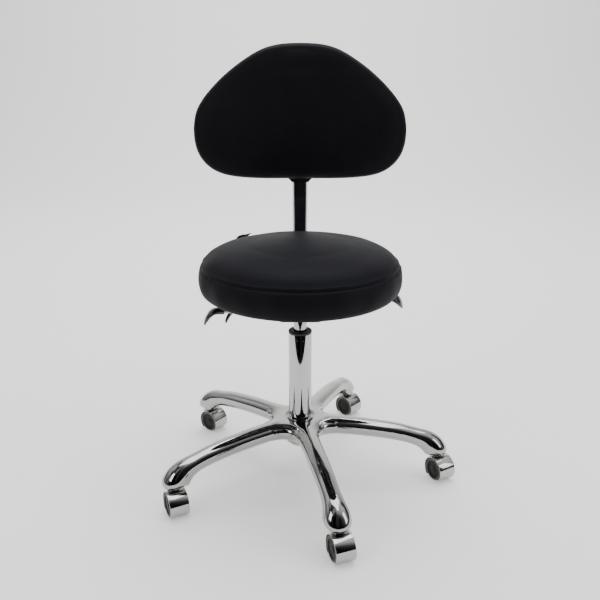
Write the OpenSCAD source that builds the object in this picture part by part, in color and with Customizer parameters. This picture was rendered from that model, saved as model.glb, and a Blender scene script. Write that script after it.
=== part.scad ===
// Operator's stool on a five-arm castor base, with a gas lift, a round seat,
// a tilting backrest on a flat tube, and three control levers.
// Origin: on the lift's axis, at floor level. +Z up, the sitter faces -Y.

/* [Base] */
// Radius of the circle through the castor stems
stem_circle = 305.7; // [280:1:320]
// Direction of the first arm, in degrees
first_arm = -76.7; // [-90:1:-60]
// Height of the lowest edge of a leg end
leg_end_z = 58.7; // [58.5:0.1:60]
// Radius of the hub where the arms meet
hub_r = 41; // [38:1:44]

/* [Castors] */
// Wheel radius, which is also the axle's height
wheel_r = 25; // [24:0.5:25]
// Outer radius of the castor hood
hood_r = 28.4; // [28:0.1:29]
// Half of the hood's width
hood_half = 20.1; // [19.6:0.1:21]
// Distance from the stem to the axle
trail = 15.3; // [14:0.1:16]
// Swivel angle of castors 1 to 5, in degrees
castor_turn = [19.1, 27.8, 45.2, 50.4, 26.5]; // [0:0.1:360]

/* [Gas lift] */
// Outer radius of the column tube
column_r = 25; // [25:0.1:25.4]
// Height of the column tube's top
column_top = 334; // [330:1:334]
// Radius of the sliding cylinder
cylinder_r = 14; // [14:0.1:14]

/* [Seat] */
// Radius of the seat cushion at its widest
seat_r = 212; // [205:1:213]
// Height of the cushion's underside
seat_z = 424; // [424:1:426]
// Height of the sewn seam round the cushion's top
seam_z = 487; // [480:1:490]
// Height of the cushion's crown
crown_z = 535; // [530:1:538]

/* [Backrest] */
// Height of the back cushion's lower edge
back_z = 636; // [630:1:645]
// Width across the flat upright tube
upright_w = 35; // [33:1:36]
// Thickness of the flat upright tube
upright_t = 15; // [14:1:16]
// Distance of the upright behind the lift's axis
upright_y = 232; // [231:1:236]

/* [Hidden] */
$fn = 64;

chrome = [0.78, 0.79, 0.8];
steel = [0.6, 0.61, 0.62];
black = [0.08, 0.08, 0.09];
vinyl = [0.1, 0.1, 0.12];
wood = [0.76, 0.6, 0.4];
tread_grey = [0.35, 0.34, 0.3];
hub_top = 132;
hub_foot = 76;
web_half = 5.5;
board_r = seat_r - 36;
web_edge = 56.5;
// Lever rods: [y, z] of each axis
height_rod = [-22, 389];
seat_rod = [26, 378];
back_rod = [70, 389];
// Tilt axes: [y, z]
seat_pivot = [-44, 400];
back_pivot = [92, 392];
pan_x = 46;
pan_front = -62;
pan_rear = 104;
pan_z = 368;
nose_y = -34;
nose_z = 381;
pan_top = 410;
knob_z = 668;

// A rounded rectangle
module rrect(w, l, r) {
  square([w - 2 * r, l], center = true);
  square([w, l - 2 * r], center = true);
  for (i = [-1, 1], j = [-1, 1]) translate([i * (w / 2 - r), j * (l / 2 - r)]) circle(r);
}

// A flat oval, w across and t thick
module stadium(w, t) {
  square([w - t, t], center = true);
  for (i = [-1, 1]) translate([i * (w - t) / 2, 0]) circle(t / 2);
}

// ---- Star base ----

// Stations along an arm: [radius, height of the crease line, tilt of the section in degrees,
// half width at the crease, crown above it, depth below it, half width at the foot]
arm_stations = [
  [ 22, 114,   0, 12.5, 15, 14, 9],
  [ 44, 118,   2, 24.5, 17, 19, 17],
  [ 75, 117,   4, 22.5, 18.5, 18, 14.5],
  [120, 115,   6, 21.2, 18.5, 18, 13.5],
  [170, 111,   8, 21,   18, 18, 13],
  [215, 105,  12, 20.5, 18, 17.5, 13],
  [250,  97,  22, 20,   18, 16.5, 13.5],
  [274,  88,  38, 22,   23, 16.5, 17],
  [290,  79,  54, 25.5, 25, 19.5, 22],
  [300,  70.5, 70, 27,   24.5, 23, 24],
  [304.8, 64.5, 82, 25,  23.8, 22.6, 22.6],
  [stem_circle, leg_end_z, 90, 21, 21, 21, 18.5]
];

// One cross-section: rounded crown, crease at the widest point, sides drawn in to the foot
function arm_section(w, up, dn, foot) = [
  for (a = [0 : 22.5 : 180]) [w * cos(a), up * pow(sin(a), 0.85)],
  [-(w * 0.88 + foot * 0.1), -dn * 0.45],
  [-foot, -dn * 0.88], [-foot * 0.8, -dn], [0, -dn * 1.02], [foot * 0.8, -dn], [foot, -dn * 0.88],
  [(w * 0.88 + foot * 0.1), -dn * 0.45]
];

module arm() {
  rings = [for (s = arm_stations)
    [for (p = arm_section(s[3], s[4], s[5], s[6]))
      [s[0] + p[1] * sin(s[2]), -p[0], s[1] + p[1] * cos(s[2])]]];
  n = len(rings[0]);
  m = len(rings);
  points = [for (r = rings, p = r) p];
  faces = concat(
    [[for (i = [n - 1 : -1 : 0]) i]],
    [[for (i = [0 : n - 1]) (m - 1) * n + i]],
    [for (j = [0 : m - 2], i = [0 : n - 1]) let (k = (i + 1) % n) [j * n + i, (j + 1) * n + k, (j + 1) * n + i]],
    [for (j = [0 : m - 2], i = [0 : n - 1]) let (k = (i + 1) % n) [j * n + i, j * n + k, (j + 1) * n + k]]);
  polyhedron(points = points, faces = faces, convexity = 6);
}

// Pockets cast into the underside of an arm, with a rib left between each two
module arm_pockets() {
  for (s = [[60, 112, 127, 124], [116, 172, 124, 119], [176, 232, 118, 107]])
    rotate([90, 0, 0]) linear_extrude(18, center = true)
      polygon([[s[0], 60], [s[1], 60], [s[1], s[3]], [s[0], s[2]]]);
}

module star_base() {
  color(chrome) difference() {
    union() {
      for (i = [0 : 4]) rotate([0, 0, first_arm + 72 * i]) difference() { arm(); arm_pockets(); }
      rotate_extrude() polygon([[0, hub_foot], [31, hub_foot], [33, hub_foot + 2], [hub_r - 2, 98], [web_edge - 6, 101.3], [web_edge - 1, 106.7],
        [web_edge, 116.3], [web_edge - 4, 122.4], [web_edge - 14, 127.7], [hub_r - 9, hub_top - 0.6], [0, hub_top - 0.6]]);
    }
    // tapered seat of the column tube
    rotate_extrude() polygon([[0, 60], [24.2, 60], [24.2, hub_foot], [column_r, hub_top - 0.6], [column_r, 150], [0, 150]]);
    // castor sockets
    for (i = [0 : 4]) rotate([0, 0, first_arm + 72 * i]) translate([stem_circle, 0, 50]) cylinder(h = 36, r = 5.6);
  }
}

// ---- Castors ----

module at_arm(i) rotate([0, 0, first_arm + 72 * i]) translate([stem_circle, 0, 0]) children();

// Stem axis at the origin, turned so that X is the axle's direction
module at_castor(i) {
  a = first_arm + 72 * i;
  translate([stem_circle * cos(a), stem_circle * sin(a), 0]) rotate([0, 0, castor_turn[i]]) children();
}

module castor_stems() {
  color(steel) for (i = [0 : 4]) at_arm(i) rotate_extrude()
    polygon([[0, 31], [3.5, 31], [3.5, 57.9], [9, 57.9], [9, leg_end_z - 0.01], [5.45, leg_end_z - 0.01], [5.45, 74], [4.6, 74], [4.6, 80],
      [5.45, 80], [5.45, 83], [4.5, 84.5], [0, 84.5]]);
}

module stem_grip_rings() {
  color(steel) for (i = [0 : 4]) at_arm(i) translate([0, 0, 74.3]) difference() {
    cylinder(h = 5.4, r = 5.58);
    translate([0, 0, -1]) cylinder(h = 8, r = 4.65);
    translate([0, -1, -1]) cube([8, 2, 8]);
  }
}

module hood() {
  color(chrome) difference() {
    union() {
      translate([0, -trail, wheel_r]) rotate([0, 90, 0]) cylinder(h = 2 * hood_half, r = hood_r, center = true);
      translate([0, 0, 34]) cylinder(h = 23.6, r = 13);
    }
    // a pocket for each wheel
    for (s = [-1, 1]) translate([s * (web_half + 10), -trail, wheel_r]) rotate([0, 90, 0])
      cylinder(h = 20, r = hood_r - 1.8, center = true);
    translate([-40, -60, -30]) cube([80, 100, 33.5]);
    translate([0, 0, 30.5]) cylinder(h = 40, r = 3.54);
    translate([0, -trail, wheel_r]) rotate([0, 90, 0]) cylinder(h = 30, r = 3, center = true);
  }
}

module axle() {
  color(steel) translate([0, -trail, wheel_r]) rotate([0, 90, 0]) cylinder(h = 33, r = 3, center = true);
}

// A wheel on the side s of the web: a nylon core with a blind bore, and its tread
module on_axle(s) translate([0, -trail, wheel_r]) rotate([0, s * 90, 0]) children();

module core(s) {
  color(black) on_axle(s) difference() {
    rotate_extrude() polygon([[0, 6.1], [6, 6.1], [6, 7], [20.6, 7], [20.6, 18.6], [20, 19.2], [17.5, 19.2], [16.5, 18.2], [0, 18.2]]);
    cylinder(h = 17.2, r = 3.05);
  }
}

module tyre(s) {
  color(tread_grey) on_axle(s) rotate_extrude()
    polygon([[20.6, 6.4], [23.6, 6.4], [24.6, 7.2], [wheel_r, 8.6], [wheel_r, 17.4], [24.6, 18.8], [23.6, 19.5], [21.4, 19.5], [20.6, 18.9]]);
}

module castor_hood(i) at_castor(i) hood();
module castor_axle(i) at_castor(i) axle();
module castor_core(i, s) at_castor(i) core(s);
module castor_tyre(i, s) at_castor(i) tyre(s);

// ---- Gas lift ----

module lift_outer_tube() {
  color(chrome) difference() {
    rotate_extrude() polygon([[0, 70], [23.8, 70], [24.2, 70.4], [24.2, hub_foot], [column_r, hub_top],
      [column_r, column_top - 1], [column_r - 1, column_top], [0, column_top]]);
    translate([0, 0, 75]) cylinder(h = 300, r = 22.6);
    translate([0, 0, 60]) cylinder(h = 30, r = 4.06);
  }
}

module lift_guide_bush() {
  color(black) difference() {
    rotate_extrude() polygon([[0, 254], [22.6, 254], [22.6, column_top], [column_r + 0.4, column_top],
      [column_r + 0.4, column_top + 4], [column_r - 1.2, column_top + 5.5], [0, column_top + 5.5]]);
    translate([0, 0, 250]) cylinder(h = 100, r = cylinder_r + 0.05);
  }
}

module lift_thrust_bearing() {
  color(steel) {
    for (z = [75.1, 79.9]) translate([0, 0, z]) difference() {
      cylinder(h = 1.4, r = 12);
      translate([0, 0, -1]) cylinder(h = 4, r = 4.2);
    }
    for (a = [0 : 45 : 315]) rotate([0, 0, a]) translate([8.4, 0, 78.2]) sphere(r = 1.6);
  }
}

module lift_piston_rod() {
  color(steel) rotate_extrude()
    polygon([[0, 65.5], [3.5, 65.5], [4, 66], [4, 67.8], [3, 67.8], [3, 69.8], [4, 69.8], [4, 81.35], [5, 81.35], [5, 236],
      [12.44, 236], [12.44, 240], [11, 240.5], [11, 243.5], [12.44, 244], [12.44, 248], [0, 248]]);
}

module lift_retaining_clip() {
  color(steel) translate([0, 0, 68]) difference() {
    cylinder(h = 1.6, r = 8.5);
    translate([0, 0, -1]) cylinder(h = 4, r = 3.02);
    translate([0, -3, -1]) cube([12, 6, 4]);
  }
}

module lift_cylinder() {
  color(chrome) difference() {
    rotate_extrude() polygon([[0, 114], [cylinder_r - 0.8, 114], [cylinder_r, 114.8], [cylinder_r, 352], [13.2, 386], [0, 386]]);
    translate([0, 0, 122]) cylinder(h = 222, r = 12.5);
    translate([0, 0, 110]) cylinder(h = 20, r = 5.05);
    translate([0, 0, 340]) cylinder(h = 60, r = 4.06);
  }
}

module release_pin() {
  color(steel) translate([0, 0, 350]) cylinder(h = 44, r = 4);
}

// ---- Mechanism under the seat ----

module along_x(y, z) translate([0, y, z]) rotate([0, 90, 0]) children();

module mechanism_housing() {
  mid = (pan_front + pan_rear) / 2;
  len = pan_rear - pan_front;
  // the front is shallower than the rest
  deep_mid = (nose_y + pan_rear) / 2;
  deep_len = pan_rear - nose_y;
  color(black) difference() {
    union() {
      difference() {
        union() {
          translate([0, mid, nose_z]) linear_extrude(pan_top - nose_z) rrect(2 * pan_x, len, 12);
          translate([0, deep_mid, pan_z]) linear_extrude(pan_top - pan_z) rrect(2 * pan_x, deep_len, 12);
        }
        translate([0, mid, nose_z + 3]) linear_extrude(60) rrect(2 * pan_x - 6, len - 6, 9);
        translate([0, deep_mid, pan_z + 3]) linear_extrude(60) rrect(2 * pan_x - 6, deep_len - 6, 9);
      }
      // socket of the cylinder's taper
      rotate_extrude() polygon([[0, 363], [17, 363], [19.5, 365.5], [19.5, 378], [0, 378]]);
      // ribs that carry the socket
      for (s = [-1, 1]) translate([s * 30.5 - 13, -2, pan_z]) cube([26, 4, 7]);
      // doublers where the pins and rods pass through the walls
      for (s = [-1, 1], p = [seat_pivot, back_pivot]) translate([s * (pan_x - 4), p[0], p[1]])
        rotate([0, 90, 0]) cylinder(h = 3, r = 9, center = true);
    }
    // taper
    rotate_extrude() polygon([[0, 350], [cylinder_r, 350], [cylinder_r, 352], [13.2, 386], [13.2, 390], [0, 390]]);
    // open rear, for the back arm
    translate([-30, pan_rear - 20, pan_z + 7]) cube([60, 40, 60]);
    for (p = [seat_pivot, back_pivot]) along_x(p[0], p[1]) cylinder(h = 140, r = 5, center = true);
    for (p = [height_rod, seat_rod, back_rod]) along_x(p[0], p[1]) cylinder(h = 140, r = 6.5, center = true);
  }
}

// Two identical tilt pins with heads
module pivot_pins() {
  color(steel) for (p = [seat_pivot, back_pivot]) along_x(p[0], p[1]) {
    cylinder(h = 106, r = 5, center = true);
    for (s = [-1, 1]) translate([0, 0, s * 54]) cylinder(h = 2.4, r = 6.5, center = true);
  }
}

module lever_bushes() {
  color(black) for (p = [height_rod, seat_rod, back_rod], s = [-1, 1])
    along_x(p[0], p[1]) mirror([0, 0, s < 0 ? 1 : 0]) translate([0, 0, pan_x - 3]) difference() {
      union() {
        cylinder(h = 3, r = 6.48);
        translate([0, 0, 3]) cylinder(h = 1.5, r = 8.2);
      }
      translate([0, 0, -5]) cylinder(h = 20, r = 4.55);
    }
}

// Round rod along X from x0 to x1
module rod(x0, x1, p) translate([x0, p[0], p[1]]) rotate([0, 90, 0]) cylinder(h = x1 - x0, r = 4.5);

module height_lever_rod() {
  color(steel) {
    rod(-172, 50, height_rod);
    // finger over the release pin
    translate([-4, height_rod[0] - 4, 389]) cube([8, 8, 11.3]);
    translate([-4, height_rod[0], 395.3]) cube([8, 22, 5]);
    along_x(0, 397.3) translate([0, 0, -4]) cylinder(h = 8, r = 3);
  }
}

module seat_lever_rod() {
  color(steel) {
    rod(-131, 50, seat_rod);
    translate([26, seat_rod[0] - 4, seat_rod[1]]) cube([8, 8, 12]);
  }
}

module back_lever_rod() {
  color(steel) {
    rod(-50, 200, back_rod);
    translate([-34, back_rod[0] - 4, back_rod[1]]) cube([8, 8, 11]);
  }
}

// Claw-shaped paddle at the rod's end; it runs out along +X and curls down.
// The socket's mouth is at x = 0, and the rod enters it by 13.
// Stations: [x, z, half thickness, half width]
claw = [[12, 0, 6.6, 7], [17, -0.5, 5.4, 10], [23, -3, 4.4, 12.5], [29, -8, 3.7, 13.5], [34, -14.5, 3.1, 13], [38, -21, 2.6, 11.5], [41, -27, 2.2, 9], [42.5, -30, 1.6, 6]];

module claw_paddle() {
  m = len(claw);
  n = 12;
  dir = [for (i = [0 : m - 1]) let (a = claw[max(i - 1, 0)], b = claw[min(i + 1, m - 1)]) atan2(b[1] - a[1], b[0] - a[0])];
  rings = [for (i = [0 : m - 1]) let (s = claw[i], t = dir[i])
    [for (k = [0 : n - 1]) let (a = 360 * k / n, u = s[2] * sin(a), v = s[3] * cos(a)) [s[0] - u * sin(t), v, s[1] + u * cos(t)]]];
  faces = concat([[for (i = [0 : n - 1]) i]], [[for (i = [n - 1 : -1 : 0]) (m - 1) * n + i]],
    [for (j = [0 : m - 2], i = [0 : n - 1]) let (k = (i + 1) % n) [j * n + i, (j + 1) * n + i, (j + 1) * n + k]],
    [for (j = [0 : m - 2], i = [0 : n - 1]) let (k = (i + 1) % n) [j * n + i, (j + 1) * n + k, j * n + k]]);
  difference() {
    union() {
      polyhedron(points = [for (r = rings, p = r) p], faces = faces, convexity = 4);
      rotate([0, 90, 0]) cylinder(h = 16, r = 7.2);
    }
    translate([-1, 0, 0]) rotate([0, 90, 0]) cylinder(h = 14, r = 4.5);
  }
}

module height_lever_paddle() color(black) translate([-159, height_rod[0], height_rod[1]]) mirror([1, 0, 0]) rotate([11, 0, 0]) claw_paddle();
module seat_lever_paddle() color(black) translate([-118, seat_rod[0], seat_rod[1]]) mirror([1, 0, 0]) rotate([-20, 0, 0]) claw_paddle();
module back_lever_paddle() color(black) translate([187, back_rod[0], back_rod[1]]) rotate([33, 0, 0]) claw_paddle();

// ---- Seat ----

module seat_plate() {
  color(black) difference() {
    union() {
      translate([0, 8, seat_z - 3]) linear_extrude(3) rrect(190, 190, 20);
      // hinge ears outside the pan
      for (s = [-1, 1]) translate([s * 49 - 1.5, seat_pivot[0], seat_pivot[1]]) rotate([90, 0, 90]) linear_extrude(3) {
        circle(9.5);
        polygon([[-9.5, 0], [9.5, 0], [24, seat_z - 2 - seat_pivot[1]], [-24, seat_z - 2 - seat_pivot[1]]]);
      }
      // pressed stiffening beads
      for (s = [-1, 1]) translate([s * 70, 8, seat_z - 5.5]) linear_extrude(3) rrect(12, 110, 5);
    }
    along_x(seat_pivot[0], seat_pivot[1]) cylinder(h = 140, r = 5.05, center = true);
    for (i = [-1, 1], j = [-1, 1]) translate([i * 82, 8 + j * 82, seat_z - 20]) cylinder(h = 40, r = 3.3);
  }
}

module seat_bolts() {
  color(steel) for (i = [-1, 1], j = [-1, 1]) translate([i * 82, 8 + j * 82, 0]) {
    translate([0, 0, seat_z - 7.6]) difference() {
      cylinder(h = 4.5, r = 5.5);
      translate([0, 0, -1]) cylinder(h = 3.5, r = 2.6, $fn = 6);
    }
    translate([0, 0, seat_z - 4]) cylinder(h = 15, r = 3);
  }
}

module seat_board() {
  color(wood) difference() {
    translate([0, 0, seat_z]) cylinder(h = 12, r = board_r);
    for (i = [-1, 1], j = [-1, 1]) translate([i * 82, 8 + j * 82, seat_z - 1]) cylinder(h = 20, r = 3.3);
  }
}

module seat_cushion() {
  color(vinyl) difference() {
    rotate_extrude() polygon([[0, seat_z], [seat_r - 30, seat_z], [seat_r - 16, seat_z + 3], [seat_r - 6, seat_z + 11],
      [seat_r - 1, seat_z + 24], [seat_r, seat_z + 38], [seat_r - 1.5, seat_z + 52], [seat_r - 6, seam_z],
      [seat_r - 11, seam_z + 11], [seat_r - 22, seam_z + 23], [seat_r - 42, seam_z + 33],
      [seat_r - 72, crown_z - 8], [seat_r - 108, crown_z - 4], [seat_r - 160, crown_z - 1], [0, crown_z]]);
    translate([0, 0, seat_z - 1]) cylinder(h = 13, r = board_r);
  }
}

// ---- Back ----

// Flat tube path: along +Y at the pivot's height, a bend, then up
bend_r = 45;
upright_top = 745;

module flat_tube(w, t) {
  translate([0, 108, back_pivot[1]]) rotate([-90, 0, 0]) linear_extrude(upright_y - bend_r - 108) stadium(w, t);
  translate([0, upright_y - bend_r, back_pivot[1] + bend_r]) rotate([0, 90, 0]) rotate_extrude(angle = 90)
    translate([bend_r, 0]) rotate(90) stadium(w, t);
  translate([0, upright_y, back_pivot[1] + bend_r]) linear_extrude(upright_top - back_pivot[1] - bend_r) stadium(w, t);
}

module back_upright() {
  color(chrome) difference() {
    flat_tube(upright_w, upright_t);
    translate([0, 0, 0]) union() {
      translate([0, 100, back_pivot[1]]) rotate([-90, 0, 0]) linear_extrude(upright_y - bend_r - 100) stadium(upright_w - 4, upright_t - 4);
      translate([0, upright_y - bend_r, back_pivot[1] + bend_r]) rotate([0, 90, 0]) rotate_extrude(angle = 90)
        translate([bend_r, 0]) rotate(90) stadium(upright_w - 4, upright_t - 4);
      translate([0, upright_y, back_pivot[1] + bend_r]) linear_extrude(400) stadium(upright_w - 4, upright_t - 4);
    }
  }
}

module back_arm_bracket() {
  z = back_pivot[1];
  color(black) difference() {
    union() {
      translate([0, 104, z]) rotate([-90, 0, 0]) linear_extrude(62) rrect(upright_w + 8, upright_t + 8, 5);
      for (s = [-1, 1]) translate([s * 19 - 2.5, 0, 0]) {
        along_x(back_pivot[0], z) cylinder(h = 5, r = 8.5);
        translate([0, back_pivot[0], z - 8.5]) cube([5, 18, 17]);
      }
    }
    translate([0, 108, z]) rotate([-90, 0, 0]) linear_extrude(80) stadium(upright_w, upright_t);
    along_x(back_pivot[0], z) cylinder(h = 100, r = 5.05, center = true);
  }
}

module back_sleeve() {
  y0 = 220;
  color(black) difference() {
    union() {
      // guide body, drawn in to the tube at its foot
      translate([0, y0, 0]) rotate([-90, 0, 0]) linear_extrude(27)
        polygon([[-22, -622], [22, -622], [32, -634], [32, -716], [26, -722], [-26, -722], [-32, -716], [-32, -634]]);
      // flange against the back board
      translate([0, y0, 690]) rotate([-90, 0, 0]) linear_extrude(4) rrect(110, 90, 10);
      // clamp boss
      translate([0, y0 + 27, knob_z]) rotate([-90, 0, 0]) cylinder(h = 5, r = 9);
    }
    translate([0, upright_y, 600]) linear_extrude(160) stadium(upright_w + 0.4, upright_t + 0.4);
    translate([0, upright_y, knob_z]) rotate([-90, 0, 0]) cylinder(h = 60, r = 4.05);
    for (i = [-1, 1], j = [-1, 1]) translate([i * 44, y0 - 5, 690 + j * 34]) rotate([-90, 0, 0]) cylinder(h = 20, r = 2.7);
  }
}

// Half outline of the back cushion: [half width, height above its lower edge]
back_half = [[0, 287], [40, 285], [76, 277], [112, 259], [155, 229], [195, 192], [223, 155], [233, 118], [233, 84], [225, 54], [207, 30], [180, 13], [142, 4], [80, 0], [0, 0]];
function mid(a, b, t) = a + (b - a) * t;
// One round of corner cutting, ends kept
function cut(p) = concat([p[0]], [for (i = [0 : len(p) - 2], t = [0.25, 0.75]) if (!(i == 0 && t < 0.5) && !(i == len(p) - 2 && t > 0.5)) mid(p[i], p[i + 1], t)], [p[len(p) - 1]]);
back_side = cut(back_half);
back_c = 130;
module back_outline(inset) {
  kx = (233 - inset) / 233;
  kz = (143.5 - inset) / 143.5;
  pts = [for (p = back_side) [p[0] * kx, 143.5 + (p[1] - 143.5) * kz]];
  n = len(pts);
  polygon(concat(pts, [for (i = [n - 2 : -1 : 1]) [-pts[i][0], pts[i][1]]]));
}

module back_slab(y, d, inset) translate([0, y + d, back_z]) rotate([90, 0, 0]) linear_extrude(d) back_outline(inset);

module back_board() {
  color(wood) difference() {
    back_slab(210, 10, 16);
    for (i = [-1, 1], j = [-1, 1]) translate([i * 44, 200, 690 + j * 34]) rotate([-90, 0, 0]) cylinder(h = 30, r = 2.2);
  }
}

module back_cushion() {
  color(vinyl) difference() {
    union() {
      back_slab(172, 40, 0);
      back_slab(163, 9, 9);
      back_slab(158, 5, 24);
      back_slab(212, 8, 6);
    }
    back_slab(210, 20, 16);
  }
}

module back_screws() {
  color(steel) for (i = [-1, 1], j = [-1, 1]) translate([i * 44, 0, 690 + j * 34]) {
    translate([0, 211.5, 0]) rotate([-90, 0, 0]) cylinder(h = 14, r = 2.2);
    translate([0, 224, 0]) rotate([-90, 0, 0]) difference() {
      cylinder(h = 3.2, r = 5);
      translate([0, 0, 1.4]) cylinder(h = 3, r = 1.8, $fn = 6);
    }
  }
}

module back_knob() {
  color(black) translate([0, 0, knob_z]) {
    translate([0, 239.9, 0]) rotate([-90, 0, 0]) cylinder(h = 16, r = 4);
    translate([0, 253, 0]) rotate([-90, 0, 0]) {
      cylinder(h = 4, r = 8);
      difference() {
        translate([0, 0, 4]) rotate_extrude() polygon([[0, 0], [17, 0], [19, 2], [19, 12], [16.5, 15], [0, 16]]);
        for (a = [0 : 60 : 300]) rotate([0, 0, a]) translate([23.5, 0, 3]) cylinder(h = 20, r = 7);
      }
    }
  }
}

star_base();
castor_stems();
stem_grip_rings();
lift_outer_tube();
lift_guide_bush();
lift_thrust_bearing();
lift_piston_rod();
lift_retaining_clip();
lift_cylinder();
release_pin();
mechanism_housing();
pivot_pins();
lever_bushes();
height_lever_rod();
height_lever_paddle();
seat_lever_rod();
seat_lever_paddle();
back_lever_rod();
back_lever_paddle();
seat_plate();
seat_bolts();
seat_board();
seat_cushion();
back_arm_bracket();
back_upright();
back_sleeve();
back_board();
back_cushion();
back_screws();
back_knob();
castor_hood(0);  // castor_1_hood
castor_axle(0);  // castor_1_axle
castor_core(0, -1);  // castor_1_core_left
castor_tyre(0, -1);  // castor_1_tyre_left
castor_core(0, 1);  // castor_1_core_right
castor_tyre(0, 1);  // castor_1_tyre_right
castor_hood(1);  // castor_2_hood
castor_axle(1);  // castor_2_axle
castor_core(1, -1);  // castor_2_core_left
castor_tyre(1, -1);  // castor_2_tyre_left
castor_core(1, 1);  // castor_2_core_right
castor_tyre(1, 1);  // castor_2_tyre_right
castor_hood(2);  // castor_3_hood
castor_axle(2);  // castor_3_axle
castor_core(2, -1);  // castor_3_core_left
castor_tyre(2, -1);  // castor_3_tyre_left
castor_core(2, 1);  // castor_3_core_right
castor_tyre(2, 1);  // castor_3_tyre_right
castor_hood(3);  // castor_4_hood
castor_axle(3);  // castor_4_axle
castor_core(3, -1);  // castor_4_core_left
castor_tyre(3, -1);  // castor_4_tyre_left
castor_core(3, 1);  // castor_4_core_right
castor_tyre(3, 1);  // castor_4_tyre_right
castor_hood(4);  // castor_5_hood
castor_axle(4);  // castor_5_axle
castor_core(4, -1);  // castor_5_core_left
castor_tyre(4, -1);  // castor_5_tyre_left
castor_core(4, 1);  // castor_5_core_right
castor_tyre(4, 1);  // castor_5_tyre_right
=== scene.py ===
import math

import bmesh
import bpy
import numpy as np
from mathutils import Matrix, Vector
from mathutils.bvhtree import BVHTree
from mathutils.kdtree import KDTree


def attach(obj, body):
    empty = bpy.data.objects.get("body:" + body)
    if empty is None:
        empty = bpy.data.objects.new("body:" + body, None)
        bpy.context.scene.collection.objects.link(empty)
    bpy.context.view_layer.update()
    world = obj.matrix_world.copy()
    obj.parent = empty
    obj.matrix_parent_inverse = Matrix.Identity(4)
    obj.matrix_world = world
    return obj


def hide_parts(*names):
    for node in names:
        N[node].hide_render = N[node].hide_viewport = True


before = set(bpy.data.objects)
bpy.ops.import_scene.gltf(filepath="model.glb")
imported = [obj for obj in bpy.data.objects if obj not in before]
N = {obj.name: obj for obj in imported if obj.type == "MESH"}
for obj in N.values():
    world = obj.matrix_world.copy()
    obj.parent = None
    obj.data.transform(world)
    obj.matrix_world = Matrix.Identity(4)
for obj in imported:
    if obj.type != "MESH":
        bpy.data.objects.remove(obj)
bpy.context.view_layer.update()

MM = 0.001
scene = bpy.context.scene

# ---------------------------------------------------------------- camera
cam = bpy.data.objects.new("camera", bpy.data.cameras.new("camera"))
scene.collection.objects.link(cam)
cam.location = (-0.0018, -1.3824, 0.8601)
cam.rotation_euler = (math.radians(90 - 18.18), 0, math.radians(-0.06))
cam.data.sensor_width = 36
cam.data.lens = 41.23
cam.data.clip_start = 0.01
scene.camera = cam


# ---------------------------------------------------------------- materials
class Mat:
    """A Principled material and short ways to add its nodes."""

    def __init__(self, name):
        self.m = bpy.data.materials.new(name)
        self.m.use_nodes = True
        self.nt = self.m.node_tree
        self.p = next(n for n in self.nt.nodes if n.type == "BSDF_PRINCIPLED")
        self.co = self.node("ShaderNodeTexCoord").outputs["Object"]

    def node(self, kind, **props):
        n = self.nt.nodes.new(kind)
        for k, v in props.items():
            setattr(n, k, v)
        return n

    def link(self, a, b):
        self.nt.links.new(a, b)

    def set(self, **values):
        for k, v in values.items():
            s = self.p.inputs[k.replace("_", " ")]
            s.default_value = (*v, 1) if isinstance(v, tuple) and len(v) == 3 else v
        return self

    def noise(self, scale, detail=4.0, rough=0.55, stretch=None, distortion=0.0):
        n = self.node("ShaderNodeTexNoise")
        n.inputs["Scale"].default_value = scale
        n.inputs["Detail"].default_value = detail
        n.inputs["Roughness"].default_value = rough
        n.inputs["Distortion"].default_value = distortion
        src = self.co
        if stretch:
            mp = self.node("ShaderNodeMapping")
            mp.inputs["Scale"].default_value = stretch
            self.link(src, mp.inputs["Vector"])
            src = mp.outputs["Vector"]
        self.link(src, n.inputs["Vector"])
        return n.outputs["Fac"]

    def voronoi(self, scale, feature="DISTANCE_TO_EDGE", randomness=1.0, warp=0.0):
        n = self.node("ShaderNodeTexVoronoi", feature=feature)
        n.inputs["Scale"].default_value = scale
        n.inputs["Randomness"].default_value = randomness
        src = self.co
        if warp:
            w = self.node("ShaderNodeTexNoise")
            w.inputs["Scale"].default_value = scale * 0.35
            self.link(self.co, w.inputs["Vector"])
            mx = self.node("ShaderNodeMix", data_type="VECTOR")
            mx.inputs["Factor"].default_value = warp
            self.link(self.co, mx.inputs["A"])
            self.link(w.outputs["Color"], mx.inputs["B"])
            src = mx.outputs["Result"]
        self.link(src, n.inputs["Vector"])
        return n.outputs["Distance"]

    def ramp(self, fac, stops):
        n = self.node("ShaderNodeValToRGB")
        e = n.color_ramp.elements
        e[0].position, e[1].position = stops[0][0], stops[-1][0]
        for pos, _ in stops[1:-1]:
            e.new(pos)
        for el, (pos, col) in zip(sorted(e, key=lambda x: x.position), stops):
            el.color = (*col, 1) if isinstance(col, tuple) else (col, col, col, 1)
        self.link(fac, n.inputs["Fac"])
        return n.outputs["Color"]

    def remap(self, fac, lo, hi, a=0.0, b=1.0):
        n = self.node("ShaderNodeMapRange")
        for k, v in (("From Min", a), ("From Max", b), ("To Min", lo), ("To Max", hi)):
            n.inputs[k].default_value = v
        self.link(fac, n.inputs["Value"])
        return n.outputs["Result"]

    def add(self, a, b, wa=1.0, wb=1.0):
        ma = self.node("ShaderNodeMath", operation="MULTIPLY")
        ma.inputs[1].default_value = wa
        self.link(a, ma.inputs[0])
        mb = self.node("ShaderNodeMath", operation="MULTIPLY_ADD")
        mb.inputs[1].default_value = wb
        self.link(b, mb.inputs[0])
        self.link(ma.outputs[0], mb.inputs[2])
        return mb.outputs[0]

    def bump(self, height, strength, distance):
        n = self.node("ShaderNodeBump")
        n.inputs["Strength"].default_value = strength
        n.inputs["Distance"].default_value = distance
        self.link(height, n.inputs["Height"])
        self.link(n.outputs["Normal"], self.p.inputs["Normal"])

    def color(self, out):
        self.link(out, self.p.inputs["Base Color"])

    def rough(self, out):
        self.link(out, self.p.inputs["Roughness"])


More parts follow.
